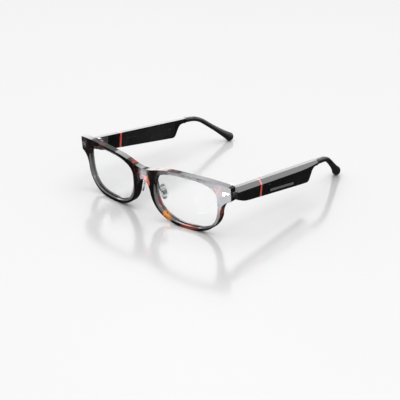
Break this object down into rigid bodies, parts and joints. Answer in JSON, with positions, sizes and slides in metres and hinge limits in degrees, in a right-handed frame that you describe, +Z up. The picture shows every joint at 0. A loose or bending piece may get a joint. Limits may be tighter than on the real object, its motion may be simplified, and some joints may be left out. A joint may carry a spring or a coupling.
{
  "type": "smart glasses",
  "caption": "Full-rim smart glasses with folding temples that house batteries, boards and speakers, clear lenses, adjustable nose pads and a small press button.",
  "frame": {"origin": "middle of the outline seen from above, at the height of the table that the rims and temple tips rest on", "axes": "+X towards the wearer's left, +Y back along the temples (the front faces -Y), +Z up"},
  "size_m": [0.1404, 0.15, 0.0395],
  "materials": {
    "havana": "polished dark tortoise acetate",
    "lens": "clear",
    "plaque": "polished",
    "wire": "satin",
    "pad": "clear soft silicone",
    "hinge_metal": "satin",
    "gloss_black": "polished black",
    "satin_black": "satin black",
    "ring": "coral red",
    "dark_metal": "blackened",
    "cell": "foil",
    "board": "solder mask",
    "dark_plastic": "matt",
    "grille": "fine mesh",
    "strip": "smoked grey",
    "gold": "gold plated",
    "button": "satin black"
  },
  "bodies": {
    "front": {"front_frame": "havana", "lens_left": "lens", "lens_right": "lens", "front_plaque_left": "plaque", "front_plaque_right": "plaque", "side_plaque_left": "plaque", "side_plaque_right": "plaque", "nose_arm_left": "wire", "nose_arm_right": "wire", "front_leaf_left": "hinge_metal", "front_leaf_right": "hinge_metal", "leaf_screws_left": "hinge_metal", "leaf_screws_right": "hinge_metal", "hinge_screw_left": "hinge_metal", "hinge_screw_right": "hinge_metal"},
    "left_nose_pad": {"nose_pad_left": "pad", "pad_core_left": "wire"},
    "right_nose_pad": {"nose_pad_right": "pad", "pad_core_right": "wire"},
    "left_temple": {"temple_leaf_left": "hinge_metal", "hinge_block_left": "gloss_black", "accent_ring_left": "ring", "housing_left": "gloss_black", "inner_cover_left": "satin_black", "cover_screws_left": "dark_metal", "battery_left": "cell", "main_board_left": "board", "speaker_left": "dark_plastic", "speaker_grille_left": "grille", "microphone_left": "dark_metal", "touch_strip_left": "strip", "charging_contacts_left": "gold", "core_wire_left": "wire", "temple_tip_left": "satin_black"},
    "right_temple": {"temple_leaf_right": "hinge_metal", "hinge_block_right": "gloss_black", "accent_ring_right": "ring", "housing_right": "gloss_black", "inner_cover_right": "satin_black", "cover_screws_right": "dark_metal", "battery_right": "cell", "main_board_right": "board", "speaker_right": "dark_plastic", "speaker_grille_right": "grille", "microphone_right": "dark_metal", "touch_strip_right": "strip", "charging_contacts_right": "gold", "core_wire_right": "wire", "temple_tip_right": "satin_black", "button_switch": "dark_plastic"},
    "button": {"function_button": "button"}
  },
  "joints": [
    {"name": "left_fold", "type": "hinge", "parent": "front", "child": "left_temple", "pos_m": [0.0622, -0.05644, 0.0312], "axis": [0, 0.1049, 0.9945], "range_deg": [0, 87]},
    {"name": "right_fold", "type": "hinge", "parent": "front", "child": "right_temple", "pos_m": [-0.0622, -0.05644, 0.0312], "axis": [0, -0.1049, -0.9945], "range_deg": [0, 70]},
    {"name": "left_pad_rock", "type": "hinge", "parent": "front", "child": "left_nose_pad", "pos_m": [0.01096, -0.06529, 0.01761], "axis": [0.4253, 0.8988, 0.1061], "range_deg": [-6, 6]},
    {"name": "right_pad_rock", "type": "hinge", "parent": "front", "child": "right_nose_pad", "pos_m": [-0.01096, -0.06529, 0.01761], "axis": [0.4253, -0.8988, -0.1061], "range_deg": [-6, 6]},
    {"name": "button_press", "type": "slide", "parent": "right_temple", "child": "button", "axis": [0, 0.1049, 0.9945], "range_m": [0, 0.0004], "stiffness_N_per_m": 600, "springref_m": -0.0003}
  ]
}
